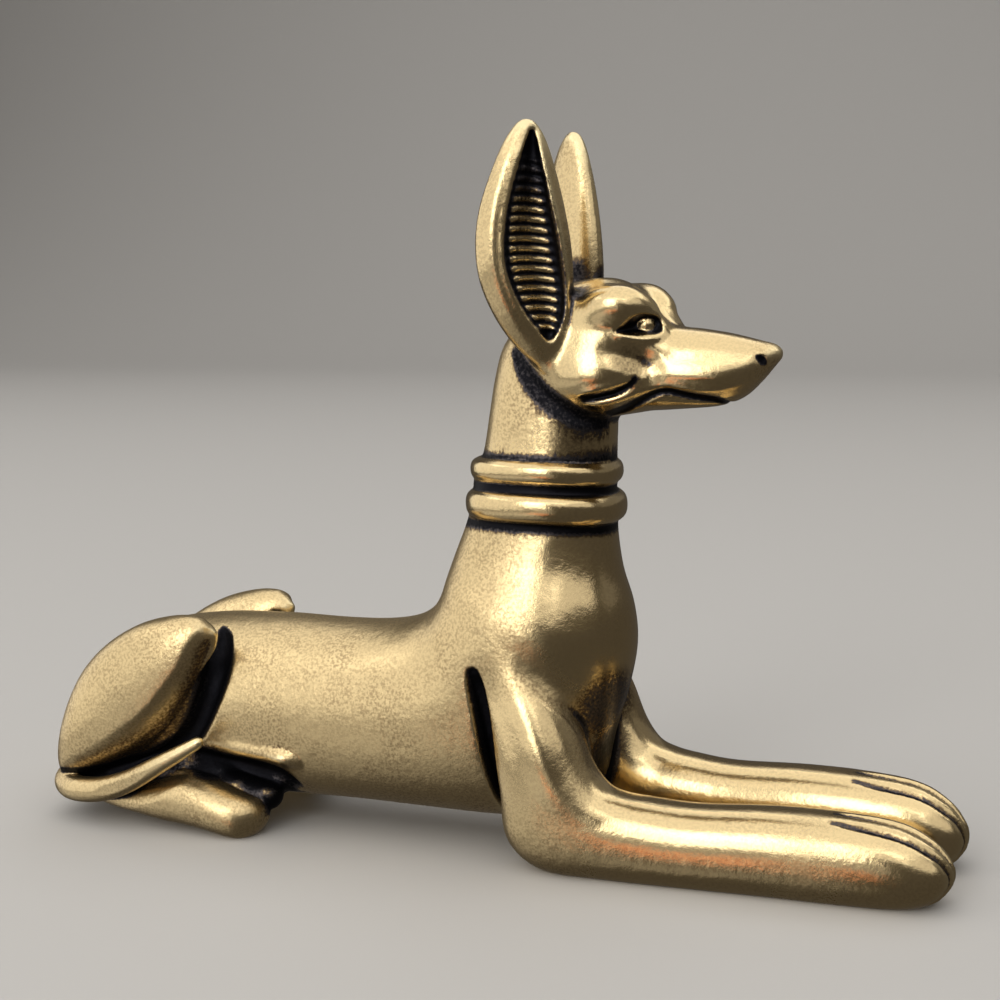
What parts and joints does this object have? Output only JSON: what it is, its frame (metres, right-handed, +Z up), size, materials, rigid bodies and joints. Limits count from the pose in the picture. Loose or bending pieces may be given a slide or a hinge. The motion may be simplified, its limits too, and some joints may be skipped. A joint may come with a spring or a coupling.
{
  "type": "recumbent jackal figure",
  "caption": "Small solid cast brass figure of a lying jackal with raised head, tall ribbed ears and a double ring round its neck.",
  "frame": {"origin": "middle of the outline on the plane of the soles", "axes": "+X towards the paws and muzzle, +Y to the figure's left, +Z up"},
  "size_m": [0.0502, 0.0128, 0.0376],
  "materials": {
    "brass": "antiqued cast brass: polished high spots, mottled flanks and blue-black patina in the recesses"
  },
  "bodies": {
    "root": {"jackal_figure": "brass"}
  },
  "joints": []
}
